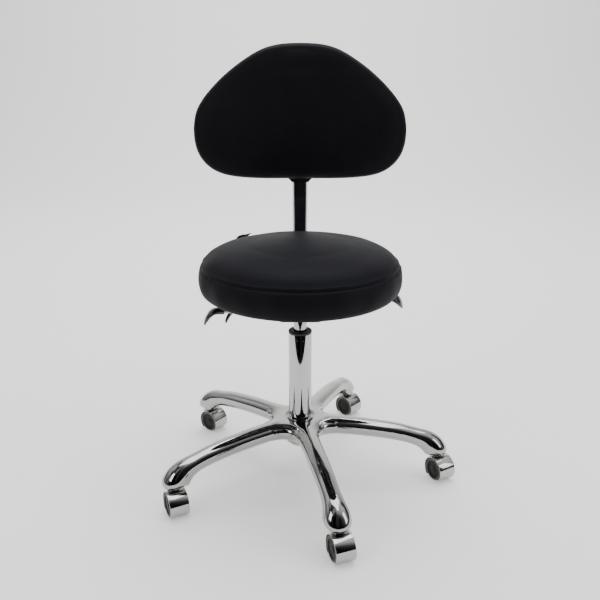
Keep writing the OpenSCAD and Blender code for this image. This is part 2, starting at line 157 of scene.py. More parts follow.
def chrome(name, tint, lo, hi, wave=0.0):
    m = Mat(name).set(Metallic=1.0)
    smear = m.noise(9, 5, 0.6, stretch=(1, 1, 0.4))
    fine = m.noise(900, 2, 0.5)
    m.color(m.ramp(smear, [(0.3, tuple(c * 0.95 for c in tint)), (0.7, tint)]))
    m.rough(m.remap(m.add(smear, fine, 0.7, 0.3), lo, hi, 0.3, 0.7))
    if wave:
        m.bump(m.noise(28, 2, 0.4), wave, 0.001)
    return m.m


M = {}
M["base"] = chrome("polished_casting", (0.40, 0.395, 0.385), 0.035, 0.10, wave=0.08)
M["tube"] = chrome("chrome_tube", (0.46, 0.46, 0.465), 0.03, 0.08)
M["hood"] = chrome("chrome_hood", (0.44, 0.435, 0.425), 0.06, 0.13)
M["upright"] = chrome("chrome_upright", (0.50, 0.505, 0.52), 0.05, 0.12)

m = Mat("zinc_steel").set(Metallic=1.0)
g = m.noise(160, 5, 0.6, stretch=(1, 8, 8))
m.color(m.ramp(g, [(0.3, (0.42, 0.42, 0.41)), (0.7, (0.58, 0.58, 0.57))]))
m.rough(m.remap(g, 0.24, 0.42, 0.3, 0.7))
m.bump(g, 0.12, 0.0002)
M["steel"] = m.m

m = Mat("black_powder_coat").set(Specular_IOR_Level=0.45)
g = m.noise(900, 3, 0.6)
m.color(m.ramp(m.noise(30, 4), [(0.3, (0.012, 0.012, 0.013)), (0.7, (0.020, 0.020, 0.022))]))
m.rough(m.remap(m.noise(60, 4), 0.34, 0.48, 0.3, 0.7))
m.bump(g, 0.35, 0.0003)
M["powder"] = m.m

m = Mat("black_gloss_plastic").set(Coat_Weight=0.25, Coat_Roughness=0.08)
g = m.noise(45, 4)
m.color(m.ramp(g, [(0.3, (0.010, 0.010, 0.011)), (0.7, (0.016, 0.016, 0.018))]))
m.rough(m.remap(m.noise(120, 4), 0.17, 0.30, 0.3, 0.7))
m.bump(m.noise(500, 2), 0.10, 0.0001)
M["gloss"] = m.m

m = Mat("black_moulded_plastic")
g = m.voronoi(1500, warp=0.0)
m.color(m.ramp(m.noise(50, 4), [(0.3, (0.011, 0.011, 0.012)), (0.7, (0.019, 0.019, 0.020))]))
m.rough(m.remap(m.noise(90, 4), 0.42, 0.58, 0.3, 0.7))
m.bump(g, 0.3, 0.00015)
M["plastic"] = m.m

m = Mat("wheel_nylon").set(Specular_IOR_Level=0.12)
g = m.noise(700, 3)
m.color(m.ramp(m.noise(60, 4), [(0.3, (0.012, 0.012, 0.0125)), (0.7, (0.022, 0.022, 0.022))]))
m.rough(m.remap(m.noise(90, 4), 0.38, 0.55, 0.3, 0.7))
m.bump(g, 0.25, 0.00015)
M["nylon"] = m.m

m = Mat("grey_tread")
g = m.noise(90, 6, 0.65)
m.color(m.ramp(g, [(0.25, (0.075, 0.070, 0.056)), (0.5, (0.120, 0.113, 0.092)), (0.8, (0.165, 0.157, 0.132))]))
m.rough(m.remap(g, 0.6, 0.82, 0.3, 0.7))
m.bump(m.noise(1200, 3), 0.3, 0.0002)
M["tread"] = m.m


def vinyl(name, dark, light, lo, hi):
    """Black upholstery vinyl: a shallow pebble grain with finer pores, and soft handling marks."""
    m = Mat(name).set(Specular_IOR_Level=0.035)
    pebble = m.voronoi(620, warp=0.0012)
    pores = m.noise(2600, 3, 0.6)
    marks = m.noise(7, 6, 0.6, distortion=0.4)
    m.color(m.ramp(m.add(pebble, marks, 0.35, 0.65), [(0.2, dark), (0.6, light)]))
    m.rough(m.remap(m.add(marks, pores, 0.8, 0.2), lo, hi, 0.3, 0.7))
    m.bump(m.add(pebble, pores, 0.85, 0.15), 0.34, 0.00028)
    return m.m


M["vinyl"] = vinyl("black_vinyl", (0.0110, 0.0110, 0.0138), (0.0165, 0.0165, 0.0208), 0.46, 0.58)
# painted seam shade: a darker, rougher copy of the black vinyl, standing for the shade in the seam's groove
M["vinyl_seam"] = vinyl("black_vinyl_seam", (0.006, 0.006, 0.007), (0.010, 0.010, 0.012), 0.5, 0.62)

m = Mat("black_thread")
g = m.noise(3000, 2, stretch=(1, 1, 3))
m.color(m.ramp(g, [(0.3, (0.006, 0.006, 0.007)), (0.7, (0.018, 0.018, 0.020))]))
m.rough(m.remap(g, 0.55, 0.8, 0.3, 0.7))
m.bump(g, 0.5, 0.0002)
M["thread"] = m.m

m = Mat("dust_cover_nonwoven").set(Specular_IOR_Level=0.15)
g = m.noise(1500, 6, 0.7, distortion=1.5)
m.color(m.ramp(g, [(0.3, (0.006, 0.006, 0.006)), (0.7, (0.020, 0.020, 0.021))]))
m.rough(m.remap(g, 0.8, 0.95, 0.3, 0.7))
m.bump(m.add(g, m.voronoi(400), 0.6, 0.4), 0.5, 0.0004)
M["nonwoven"] = m.m

m = Mat("plywood")
g = m.noise(28, 8, 0.6, stretch=(1, 7, 7), distortion=0.6)
m.color(m.ramp(g, [(0.25, (0.30, 0.19, 0.10)), (0.5, (0.45, 0.31, 0.17)), (0.8, (0.58, 0.43, 0.26))]))
m.rough(m.remap(g, 0.55, 0.75, 0.3, 0.7))
m.bump(g, 0.25, 0.0003)
M["wood"] = m.m


# ---------------------------------------------------------------- mesh helpers
def smooth_shade(me, angle=35):
    me.shade_smooth()
    me.set_sharp_from_angle(angle=math.radians(angle))


def make(name, verts, faces, mat, body=None, slot=None, replaces=(), angle=35, recalc=True):
    me = bpy.data.meshes.new(name)
    me.from_pydata([tuple(v) for v in verts], [], [tuple(f) for f in faces])
    if recalc:
        bm = bmesh.new()
        bm.from_mesh(me)
        bmesh.ops.remove_doubles(bm, verts=bm.verts, dist=1e-7)
        bmesh.ops.recalc_face_normals(bm, faces=bm.faces)
        bm.to_mesh(me)
        bm.free()
    smooth_shade(me, angle)
    ob = bpy.data.objects.new(name, me)
    scene.collection.objects.link(ob)
    me.materials.append(M[mat])
    settle(ob, body, replaces)
    return ob


def settle(ob, body, replaces=()):
    if body:
        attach(ob, body)
    if replaces:
        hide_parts(*replaces)


def rounded(points, radii, n=5, closed=True):
    """A polygon with its corners rounded, each by its own radius."""
    out = []
    k = len(points)
    for i, (p, r) in enumerate(zip(points, radii)):
        p = np.array(p, float)
        if r <= 0 or (not closed and i in (0, k - 1)):
            out.append(p)
            continue
        a, b = np.array(points[i - 1], float) - p, np.array(points[(i + 1) % k], float) - p
        la, lb = np.linalg.norm(a), np.linalg.norm(b)
        a, b = a / la, b / lb
        half = math.acos(max(-1, min(1, float(a @ b)))) / 2
        if half < 0.02 or half > math.pi / 2 - 0.01:
            out.append(p)
            continue
        d = min(r / math.tan(half), la * 0.49, lb * 0.49)
        r = d * math.tan(half)
        c = p + (a + b) / np.linalg.norm(a + b) * (r / math.sin(half))
        s, e = p + a * d - c, p + b * d - c
        t0, t1 = math.atan2(s[1], s[0]), math.atan2(e[1], e[0])
        dt = (t1 - t0 + math.pi) % (2 * math.pi) - math.pi
        out += [c + r * np.array([math.cos(t0 + dt * j / n), math.sin(t0 + dt * j / n)]) for j in range(n + 1)]
    return out


def lathe(profile, steps=96, origin=(0, 0, 0), axis=(0, 0, 1), closed=True, scale=MM):
    """Turns (radius, height) points about an axis. Points on the axis are merged later."""
    ax = Vector(axis).normalized()
    u = ax.orthogonal().normalized()
    v = ax.cross(u)
    o = Vector(origin) * scale
    vs, fs = [], []
    k = len(profile)
    for j in range(steps):
        a = 2 * math.pi * j / steps
        d = u * math.cos(a) + v * math.sin(a)
        vs += [o + d * (p[0] * scale) + ax * (p[1] * scale) for p in profile]
    for j in range(steps):
        for i in range(k if closed else k - 1):
            q = (j * k + i, j * k + (i + 1) % k, ((j + 1) % steps) * k + (i + 1) % k, ((j + 1) % steps) * k + i)
            if profile[i][0] < 1e-9 and profile[(i + 1) % k][0] < 1e-9:
                continue
            if profile[i][0] < 1e-9:
                q = (q[0], q[1], q[2])
            elif profile[(i + 1) % k][0] < 1e-9:
                q = (q[0], q[1], q[3])
            fs.append(q)
    return vs, fs


def loft(rings, caps=True, loop=False):
    n = len(rings[0])
    vs = [v for r in rings for v in r]
    fs = []
    m_ = len(rings)
    for j in range(m_ if loop else m_ - 1):
        a, b = j * n, ((j + 1) % m_) * n
        fs += [(a + i, a + (i + 1) % n, b + (i + 1) % n, b + i) for i in range(n)]
    if caps and not loop:
        fs += [tuple(range(n))[::-1], tuple(range((m_ - 1) * n, m_ * n))]
    return vs, fs


def join(*parts):
    vs, fs = [], []
    for v, f in parts:
        o = len(vs)
        vs += list(v)
        fs += [tuple(i + o for i in q) for q in f]
    return vs, fs


def spline(rows, t):
    """Catmull-Rom through rows of numbers, at positions t from 0 to len(rows) - 1."""
    rows = np.array(rows, float)
    out = []
    for x in t:
        i = min(int(x), len(rows) - 2)
        u = x - i
        p0, p1, p2 = rows[max(i - 1, 0)], rows[i], rows[i + 1]
        p3 = rows[min(i + 2, len(rows) - 1)]
        out.append(0.5 * (2 * p1 + (p2 - p0) * u + (2 * p0 - 5 * p1 + 4 * p2 - p3) * u**2 + (3 * p1 - p0 - 3 * p2 + p3) * u**3))
    return out


def modifier_applied(ob):
    dg = bpy.context.evaluated_depsgraph_get()
    me = bpy.data.meshes.new_from_object(ob.evaluated_get(dg))
    old = ob.data
    ob.modifiers.clear()
    ob.data = me
    bpy.data.meshes.remove(old)
    return me


def coords(me):
    co = np.zeros(len(me.vertices) * 3, np.float64)
    me.vertices.foreach_get("co", co)
    return co.reshape(-1, 3)


def set_coords(me, co):
    me.vertices.foreach_set("co", np.asarray(co, np.float64).ravel())
    me.update()


def relax(me, weight, rounds):
    """Moves each vertex towards the mean of its neighbours, by its own weight."""
    co = coords(me)
    e = np.zeros(len(me.edges) * 2, np.int64)
    me.edges.foreach_get("vertices", e)
    e = e.reshape(-1, 2)
    count = np.bincount(e.ravel(), minlength=len(co)).astype(float)[:, None]
    count[count == 0] = 1
    w = np.asarray(weight)[:, None] if np.ndim(weight) else weight
    for k in range(rounds):
        for f in (0.55, -0.57):  # Taubin: smooths without shrinking
            s = np.zeros_like(co)
            np.add.at(s, e[:, 0], co[e[:, 1]])
            np.add.at(s, e[:, 1], co[e[:, 0]])
            co = co + w * f * (s / count - co)
    set_coords(me, co)


STEM_R, ARM0 = 305.7, -76.7
TURN = [19.1, 27.8, 45.2, 50.4, 26.5]


# ---------------------------------------------------------------- star base
def star_base():
    stations = [
        [22, 114, 0, 12.5, 15, 14, 9],
        [44, 118, 2, 24.5, 17, 19, 17],
        [75, 117, 4, 22.5, 18.5, 18, 14.5],
        [120, 115, 6, 21.2, 18.5, 18, 13.5],
        [170, 111, 8, 21, 18, 18, 13],
        [215, 105, 12, 20.5, 18, 17.5, 13],
        [250, 97, 22, 20, 18, 16.5, 13.5],
        [274, 88, 38, 22, 23, 16.5, 17],
        [290, 79, 54, 25.5, 25, 19.5, 22],
        [300, 70.5, 70, 27, 24.5, 23, 24],
        [304.8, 64.5, 82, 25, 23.8, 22.6, 22.6],
        [305.7, 58.7, 90, 21, 21, 21, 18.5],
    ]
    rows = spline(stations, np.linspace(0, len(stations) - 1, 67))
    rings = []
    for r, z, t, w, up, dn, foot in rows:
        t = math.radians(t)
        sec = [(w * math.cos(a), up * math.sin(a) ** 0.88) for a in np.linspace(0, math.pi, 25)]
        side = [(w, 0), (0.9 * w + 0.08 * foot, -dn * 0.42), (foot, -dn * 0.9), (0.75 * foot, -dn), (0, -dn * 1.02)]
        low = spline(side, np.linspace(0, 4, 13))
        sec += [(-p[0], p[1]) for p in low[1:]] + [tuple(p) for p in low[1:-1]][::-1]
        rings.append([Vector((r + p[1] * math.sin(t), -p[0], z + p[1] * math.cos(t))) * MM for p in sec])
    arm_mesh = bpy.data.meshes.new("arm")
    v, f = loft(rings)
    arm_mesh.from_pydata([tuple(x) for x in v], [], f)
    bm = bmesh.new()
    bm.from_mesh(arm_mesh)
    bmesh.ops.recalc_face_normals(bm, faces=bm.faces)
    bm.to_mesh(arm_mesh)
    bm.free()
    arm = bpy.data.objects.new("arm", arm_mesh)
    scene.collection.objects.link(arm)
    # pockets cast into the underside, a rib left between each two
    vs, fs = [], []
    for r0, r1, z0, z1 in ((60, 112, 127, 124), (116, 172, 124, 119), (176, 232, 118, 107)):
        box = []
        for y in (-9, 9):
            box += [Vector(p) * MM for p in ((r0, y, 60), (r1, y, 60), (r1, y, z1), (r0, y, z0))]
        vs, fs = join((vs, fs), (box, [(0, 1, 2, 3), (7, 6, 5, 4), (0, 4, 5, 1), (1, 5, 6, 2), (2, 6, 7, 3), (3, 7, 4, 0)]))
    cutter = make("cutter", vs, fs, "base")
    b = arm.modifiers.new("b", "BOOLEAN")
    b.operation, b.object, b.solver = "DIFFERENCE", cutter, "EXACT"
    modifier_applied(arm)
    av = coords(arm.data)
    af = [tuple(p.vertices) for p in arm.data.polygons]
    bpy.data.objects.remove(cutter)
    bpy.data.objects.remove(arm)
    vs, fs = [], []
    for i in range(5):
        a = math.radians(ARM0 + 72 * i)
        R = np.array([[math.cos(a), -math.sin(a), 0], [math.sin(a), math.cos(a), 0], [0, 0, 1]])
        vs, fs = join((vs, fs), ([Vector(p) for p in av @ R.T], af))
    # webs: each fills the corner between two arms as far as a rounded notch
    layers = [(13.6, 99.2), (17, 101.4), (20.6, 105.2), (23.2, 109.5), (24.2, 114), (24.5, 118)]
    layers += [(24.5 * math.cos(a), 118 + 17 * math.sin(a) ** 0.88) for a in np.linspace(0, math.pi / 2, 17)[1:]]
    for i in range(5):
        t = math.radians(ARM0 + 36 + 72 * i)
        rings = []
        for w, z in layers:
            r = 34 + 24.5 - w
            d = (w + r) / math.sin(math.radians(36))
            inn = max(1.0, min(6.0, w - 9.6))
            ring = [(0.5, 0.0), (d + (r + inn) * math.cos(math.radians(126)), -(r + inn) * math.sin(math.radians(126)))]
            ring += [(d + r * math.cos(a), r * math.sin(a)) for a in np.linspace(math.radians(-126), math.radians(-234), 37)]
            ring += [(d + (r + inn) * math.cos(math.radians(126)), (r + inn) * math.sin(math.radians(126)))]
            rings.append([Vector((x * math.cos(t) - y * math.sin(t), x * math.sin(t) + y * math.cos(t), z)) * MM for x, y in ring])
        wm = make("web", *loft(rings), "base")
        vs, fs = join((vs, fs), ([Vector(p) for p in coords(wm.data)], [tuple(p.vertices) for p in wm.data.polygons]))
        bpy.data.objects.remove(wm)
    hub = rounded([(0, 76), (31, 76), (34, 80), (41, 98), (41, 122), (38, 129), (31, 132), (0, 132)], [0, 2, 2, 5, 5, 5, 3, 0])
    vs, fs = join((vs, fs), lathe(hub, 96))
    ob = make("star_base_casting", vs, fs, "base", recalc=False)
    r = ob.modifiers.new("r", "REMESH")
    r.mode, r.voxel_size, r.use_smooth_shade = "VOXEL", 0.0016, True
    me = modifier_applied(ob)
    relax(me, 1.0, 5)
    co = coords(me)
    rad = np.hypot(co[:, 0], co[:, 1])
    near = np.clip((0.105 - rad) / 0.03, 0, 1) * (co[:, 2] > 0.088)
    relax(me, near, 60)
    # a shallow valley in the crown where the column's collar sits
    co = coords(me)
    rad = np.hypot(co[:, 0], co[:, 1])
    top = 0.1308 + np.clip(rad - 0.0275, 0, 1) * 0.62
    over = (co[:, 2] > top) & (rad < 0.040)
    co[over, 2] = top[over]
    set_coords(me, co)
    relax(me, np.clip((0.060 - rad) / 0.02, 0, 1) * (co[:, 2] > 0.11), 4)
    me.shade_smooth()
    if not me.materials:
        me.materials.append(M["base"])
    settle(ob, "base", ["star_base"])
    return ob


star_base()


# ---------------------------------------------------------------- gas lift
def lathed(name, pts, radii, mat, body, slot, replaces=(), steps=128, n=4):
    v, f = lathe(rounded(pts, radii, n), steps)
    return make(name, v, f, mat, body, slot, replaces)


lathed("column_tube", [(4.1, 70), (23.6, 70), (24.2, 71), (24.2, 76), (25, 132), (25, 334), (22.6, 334), (22.6, 75), (4.1, 75)],
       [0.2, 0.6, 0.3, 0, 0, 1.1, 0.4, 0.4, 0.2], "tube", "base", "chrome", ["lift_outer_tube"])
lathed("column_collar_ring", [(25.02, 131.2), (26.6, 131.2), (26.6, 133.6), (25.02, 133.6)], [0.1, 0.9, 0.9, 0.1], "tube", "base", "chrome")
lathed("guide_bush_cap", [(14.05, 254), (22.55, 254), (22.55, 334.05), (25.4, 334.05), (25.4, 338.2), (23.6, 339.5), (17.6, 339.5), (16.4, 338.1), (14.05, 338.1)],
       [0.4, 0.6, 0.3, 0.5, 1.6, 1.2, 0.7, 0.7, 0.4], "plastic", "base", "black_plastic", ["lift_guide_bush"])
lathed("sliding_cylinder", [(5.05, 114), (13.2, 114), (14, 114.8), (14, 352), (13.2, 386), (4.06, 386), (4.06, 344), (12.5, 344), (12.5, 122), (5.05, 122)],
       [0.2, 0.4, 0.4, 0, 0.6, 0.4, 0.2, 0.3, 0.3, 0.2], "tube", "lift", "chrome", ["lift_cylinder"])


def crimp_dimple_shade_dots():
    """Two small punch marks that hold the bush, near the tube's top, drawn as black discs: painted shade standing for
    the dimples.
    """
    vs, fs = [], []
    for a in (-104, -76, 60, 180):
        d = Vector((math.cos(math.radians(a)), math.sin(math.radians(a)), 0))
        v, f = lathe([(0, 0.12), (1.1, 0.1), (1.7, 0.0), (1.7, -0.4), (0, -0.4)], 20, origin=(d.x * 25.0, d.y * 25.0, 322), axis=d)
        vs, fs = join((vs, fs), (v, f))
    # black plastic discs on the chrome: painted shade of the punch dimples
    make("column_crimp_painted_shade_dots", vs, fs, "plastic", "base", "black_plastic")


crimp_dimple_shade_dots()


# ---------------------------------------------------------------- castors
def at_castor(i):
    a = math.radians(ARM0 + 72 * i)
    t = math.radians(TURN[i])
    X = Vector((math.cos(t), math.sin(t), 0))
    Y = Vector((-math.sin(t), math.cos(t), 0))
    O = Vector((STEM_R * math.cos(a), STEM_R * math.sin(a), 0))
    return lambda p: (O + X * p[0] + Y * p[1] + Vector((0, 0, p[2]))) * MM


def hood_mesh(put):
    """The hood: a rolled shell with a rounded rim, a web between the wheels, and the neck that takes the stem."""
    ro, ri, hw, web, c = 28.4, 26.6, 20.1, 5.5, (-15.3, 25)
    vs, fs = [], []
    # the shell's rim is rounded; the section runs along the axle's direction
    sec = rounded([(-hw, ro), (hw, ro), (hw, ri), (web, ri), (web, 8.0), (-web, 8.0), (-web, ri), (-hw, ri)],
                  [0.85, 0.85, 0.85, 1.6, 0.5, 0.5, 1.6, 0.85], 4)
    low = math.degrees(math.asin((3.5 - c[1]) / ro))
    a0, a1 = math.radians(low), math.radians(180 - low)
    rings = []
    for a in np.linspace(a0, a1, 73):
        ring = []
        for x, r in sec:
            y, z = c[0] + r * math.cos(a), c[1] + r * math.sin(a)
            if z < 3.5:
                z = 3.5
            ring.append(put((x, y, z)))
        rings.append(ring)
    vs, fs = loft(rings)
    # core of the web round the axle
    v, f = lathe(rounded([(0, -web), (9.4, -web), (9.4, web), (0, web)], [0, 0.4, 0.4, 0]), 48)
    v = [put((p[2] / MM, c[0] + p[0] / MM, c[1] + p[1] / MM)) for p in v]
    vs, fs = join((vs, fs), (v, f))
    # lower part of the web, between the shell's two ends
    outline = [(c[0] + 9 * math.cos(a), c[1] + 9 * math.sin(a)) for a in np.linspace(math.pi, 2 * math.pi, 13)]
    x_out = math.sqrt(ro**2 - 21.5**2)
    outline = [(c[0] - x_out, 3.5), (c[0] + x_out, 3.5), (c[0] + 9, c[1]), (c[0] - 9, c[1])]
    ring = [[put((x, y, z)) for y, z in outline] for x in (-web, web)]
    vs, fs = join((vs, fs), loft(ring))
    # neck: a flared collar that grows out of the shell
    rings = []
    for z, r in ((38, 15.2), (44, 14.9), (49, 14.0), (52.5, 13.2), (55, 12.9), (56.6, 12.9), (57.3, 12.5), (57.6, 11.6)):
        rings.append([put((r * math.cos(a), r * math.sin(a) * (1.0 if math.sin(a) < 0 else 1.0), z)) for a in np.linspace(0, 2 * math.pi, 49)[:-1]])
    top = [put((3.6 * math.cos(a), 3.6 * math.sin(a), 57.6)) for a in np.linspace(0, 2 * math.pi, 49)[:-1]]
    inner = [put((3.6 * math.cos(a), 3.6 * math.sin(a), 38)) for a in np.linspace(0, 2 * math.pi, 49)[:-1]]
    vs, fs = join((vs, fs), loft(rings + [top, inner], loop=True))
    return vs, fs


def wheel_meshes(put, s):
    """Core and tread on the side s of the web, in the castor's own frame."""
    def place(v):
        return [put((s * p[2] / MM, -15.3 + s * p[0] / MM * 1.0, 25 + p[1] / MM)) for p in v]

    core = rounded([(3.05, 6.1), (6, 6.1), (6, 7), (20.6, 7), (20.6, 18.6), (19.6, 19.1), (17.9, 19.1), (17.2, 17.6), (8.5, 17.2), (7.6, 18.2), (5.5, 18.6), (0, 18.7),
                    (0, 17.2), (3.05, 17.2)],
                   [0.2, 0.3, 0.3, 0.2, 0.3, 0.4, 0.5, 0.8, 1.0, 0.6, 0.8, 0, 0, 0.2], 4)
    tyre = rounded([(20.62, 6.4), (23.6, 6.4), (25, 8.4), (25, 17.6), (23.7, 19.5), (21.3, 19.5), (20.62, 18.9)],
                   [0.2, 1.4, 1.6, 1.6, 1.4, 0.5, 0.2], 5)
    cv, cf = lathe(core, 96)
    tv, tf = lathe(tyre, 96)
    return (place(cv), cf), (place(tv), tf)


for i in range(5):
    n = i + 1
    put = at_castor(i)
    v, f = hood_mesh(put)
    make(f"castor_{n}_hood_shell", v, f, "hood", f"castor_{n}", "chrome_hood", [f"castor_{n}_hood"], recalc=True)
    for s, side in ((-1, "left"), (1, "right")):
        (cv, cf), (tv, tf) = wheel_meshes(put, s)
        make(f"castor_{n}_hub_{side}", cv, cf, "nylon", f"castor_{n}_wheel_{side}", "wheel_nylon", [f"castor_{n}_core_{side}"])
        make(f"castor_{n}_tread_{side}", tv, tf, "tread", f"castor_{n}_wheel_{side}", "grey_tread", [f"castor_{n}_tyre_{side}"])


# ---------------------------------------------------------------- flat tube and its fittings
def stadium(w, t, n=14):
    """A flat oval with full round edges, as (across, thick) points."""
    r = t / 2
    out = []
    for s in (1, -1):
        for a in np.linspace(-math.pi / 2, math.pi / 2, n):
            out.append((s * ((w / 2 - r) + r * math.cos(a)), s * r * math.sin(a)))
        out += [(s * k * (w / 2 - r), s * r) for k in (0.97, 0.9, 0.45, 0, -0.45, -0.9, -0.97)]
    return out


def upright():
    PY, PZ, UY, BR = 92, 392, 232, 45
    path = [(108, PZ, 0)]
    path += [(y, PZ, 0) for y in (140, 165, UY - BR)]
    path += [(UY - BR + BR * math.sin(a), PZ + BR - BR * math.cos(a), a) for a in np.linspace(0, math.pi / 2, 25)[1:]]
    path += [(UY, z, math.pi / 2) for z in (470, 520, 570, 620, 670, 720, 745)]

    def rings(w, t):
        return [[Vector((p[0], y - p[1] * math.sin(a), z + p[1] * math.cos(a))) * MM for p in stadium(w, t)] for y, z, a in path]

    outer, inner = rings(35, 15), rings(31, 11)
    v, f = loft(outer + inner[::-1], loop=True)
    make("upright_tube", v, f, "upright", "back_arm", "chrome", ["back_upright"])
    cap = []
    for z, w, t in ((736, 30.8, 10.8), (745.05, 30.8, 10.8), (745.05, 35, 15), (746.6, 35, 15), (747.8, 33.6, 13.6), (748.3, 30, 10)):
        cap.append([Vector((p[0], 232 + p[1], z)) * MM for p in stadium(w, t)])
    v, f = loft(cap)
    make("upright_end_cap", v, f, "plastic", "back_arm", "black_plastic")


upright()


def sleeve():
    """Moulded sleeve: a rounded body drawn in to the tube at its foot, and a flange against the cushion's back."""
    def rect(hw, y0, y1, r, z, n=5):
        pts = rounded([(-hw, y0), (hw, y0), (hw, y1), (-hw, y1)], [r] * 4, n)
        return [Vector((x, y, z)) * MM for x, y in pts]

    rings = []
    for z, hw, y1, r in ((622, 19.5, 243.2, 3), (622.6, 20.4, 244, 3.5), (626, 23.2, 245, 4), (630, 27.6, 246, 4.5), (634, 31, 246.8, 5),
                         (637, 32, 247, 5), (660, 32, 247, 5), (700, 32, 247, 5), (714, 32, 247, 5), (718, 31.2, 246.6, 5),
                         (720.8, 29.2, 245.4, 4.5), (722, 26, 243.4, 4)):
        rings.append(rect(hw, 220.2, y1, r, z))
    v, f = loft(rings)
    body = make("sleeve_body", v, f, "plastic")
    # the tube's slot runs through it
    slot_rings = [[Vector((p[0], 232 + p[1], z)) * MM for p in stadium(35.4, 15.4)] for z in (600, 760)]
    cv, cf = loft(slot_rings)
    v2, f2 = lathe([(0, -30), (4.05, -30), (4.05, 30), (0, 30)], 32, origin=(0, 262, 668), axis=(0, 1, 0))
    cut = make("sleeve_cut", cv, cf, "plastic")
    b = body.modifiers.new("b", "BOOLEAN")
    b.operation, b.object, b.solver = "DIFFERENCE", cut, "EXACT"
    modifier_applied(body)
    bv = [Vector(p) for p in coords(body.data)]
    bf = [tuple(p.vertices) for p in body.data.polygons]
    bpy.data.objects.remove(body)
    bpy.data.objects.remove(cut)
    fl = []
    for y, g, r in ((220.2, 0, 10), (223.2, 0, 10), (223.8, -0.5, 10), (224, -1.3, 9.5)):
        pts = rounded([(-55 - g, 645 - g), (55 + g, 645 - g), (55 + g, 735 + g), (-55 - g, 735 + g)], [r] * 4, 8)
        fl.append([Vector((x, y, z)) * MM for x, z in pts])
    # flange: a rounded plate against the cushion's back
    v, f = loft(fl)
    flange = (v, f)
    boss = lathe(rounded([(4.2, 0), (10.5, 0), (9, 2), (9, 5), (4.2, 5)], [0, 0.5, 1, 0.7, 0.3]), 48, origin=(0, 246.9, 668), axis=(0, 1, 0))
    ribs = ([], [])
    for s in (-1, 1):
        for z in (682, 700):
            pts = [(s * 31.5, 223.9), (s * 50, 223.9), (s * 31.5, 241)]
            ribs = join(ribs, loft([[Vector((x, y, zz)) * MM for x, y in pts] for zz in (z - 1.2, z + 1.2)]))
    v, f = join((bv, bf), flange, boss, ribs)
    make("back_sleeve_moulding", v, f, "plastic", "backrest", "black_plastic", ["back_sleeve"])


sleeve()


def knob():
    """Clamp knob with six lobes, a domed face and a screw."""
    prof = [(257, 12, 0.0), (257.4, 15, 0.5), (258.4, 17.2, 1), (261, 18.6, 1), (266, 18.8, 1), (269.5, 18.2, 1), (271.8, 16.2, 0.9), (272.8, 13.2, 0.6), (272.9, 9.6, 0.2), (272.2, 8.8, 0), (272.2, 0.01, 0)]
    rings = []
    for y, r, k in prof:
        ring = []
        for j in range(96):
            a = 2 * math.pi * j / 96
            lobe = 1 - k * 0.16 * (0.5 - 0.5 * math.cos(6 * a)) ** 1.6
            ring.append(Vector((r * lobe * math.cos(a), y, 668 + r * lobe * math.sin(a))) * MM)
        rings.append(ring)
    v, f = loft(rings)
    neck = lathe(rounded([(0, -4.2), (8, -4.2), (8, 0.4), (0, 0.4)], [0, 0.6, 0.2, 0]), 48, origin=(0, 257.1, 668), axis=(0, 1, 0))
    v, f = join((v, f), neck)
    make("clamp_knob", v, f, "gloss", "back_knob", "black_gloss_plastic", ["back_knob"])
    s = [(0, 239.9), (3.2, 239.9), (4, 240.8)]
    r_ = []
    y = 240.8
    while y < 253.4:
        r_ += [(4.0, y), (3.45, y + 0.6)]
        y += 1.2
    pts = s[:2] + r_ + [(0, 254)]
    v, f = lathe([(a, b - 240) for a, b in pts], 40, origin=(0, 240, 668), axis=(0, 1, 0))
    make("clamp_screw", v, f, "steel", "back_knob", "steel")


knob()


# ---------------------------------------------------------------- lever paddles
def paddle(name, body, node, at, turn, flip):
    """A claw-shaped paddle: a socket that grips the rod, then a broad blade that curls down to a thin lip."""
    rows = [[0, 0, 7.0, 7.0], [3, 0, 7.2, 7.2], [8, 0, 7.2, 7.2], [12.5, -0.1, 7.0, 7.8], [17, -0.6, 6.8, 10.0], [23, -2.8, 6.5, 12.3], [29, -7.8, 6.3, 13.4],
            [34, -14.2, 5.7, 13.0], [38, -20.8, 4.9, 11.6], [40.6, -26.6, 4.0, 9.4], [42.0, -30.4, 3.0, 7.2]]
    pts = spline(rows, np.linspace(0, len(rows) - 1, 61))
    rings = []
    t = math.radians(turn)
    for i, (x, z, ht, hw) in enumerate(pts):
        a, b = pts[max(i - 1, 0)], pts[min(i + 1, len(pts) - 1)]
        d = math.atan2(b[1] - a[1], b[0] - a[0])
        ring = []
        for j in range(40):
            u = 2 * math.pi * j / 40
            flat = min(1.0, max(0.0, (x - 12) / 8))
            cu, su = math.cos(u), math.sin(u)
            k = 1.0 - 0.22 * flat
            across = hw * math.copysign(abs(cu) ** k, cu)
            up = ht * math.copysign(abs(su) ** k, su)
            if su < 0:
                up *= 1 - 0.35 * flat  # the hollow side is flatter
            up -= flat * 1.3 * (1 - (abs(across) / hw) ** 2) * (1 if su < 0 else 0) * -1.0 * 0.5
            px, py, pz = x - up * math.sin(d), across, z + up * math.cos(d)
            y2, z2 = py * math.cos(t) - pz * math.sin(t), py * math.sin(t) + pz * math.cos(t)
            ring.append(Vector((at[0] + (-px if flip else px), at[1] + y2, at[2] + z2)) * MM)
        rings.append(ring)
    # rounded tip
    tip, prev = rings[-1], rings[-2]
    mid_tip = sum(tip, Vector()) / len(tip)
    way = (mid_tip - sum(prev, Vector()) / len(prev)).normalized()
    for g, s in ((0.5, 0.82), (0.9, 0.5), (1.1, 0.12)):
        rings.append([mid_tip + (p - mid_tip) * s + way * g * MM for p in tip])
    # open mouth of the socket
    mouth, mid_m = rings[0], sum(rings[0], Vector()) / len(rings[0])
    lead = [[mid_m + (p - mid_m) * s + Vector(((0.25 if flip else -0.25) * MM * g, 0, 0)) for p in mouth] for s, g in ((4.6 / 7.0, 1), (0.93, 1))]
    v, f = loft([lead[0], lead[1]] + rings)
    make(name, v, f, "gloss", body, "black_gloss_plastic", [node], angle=50)


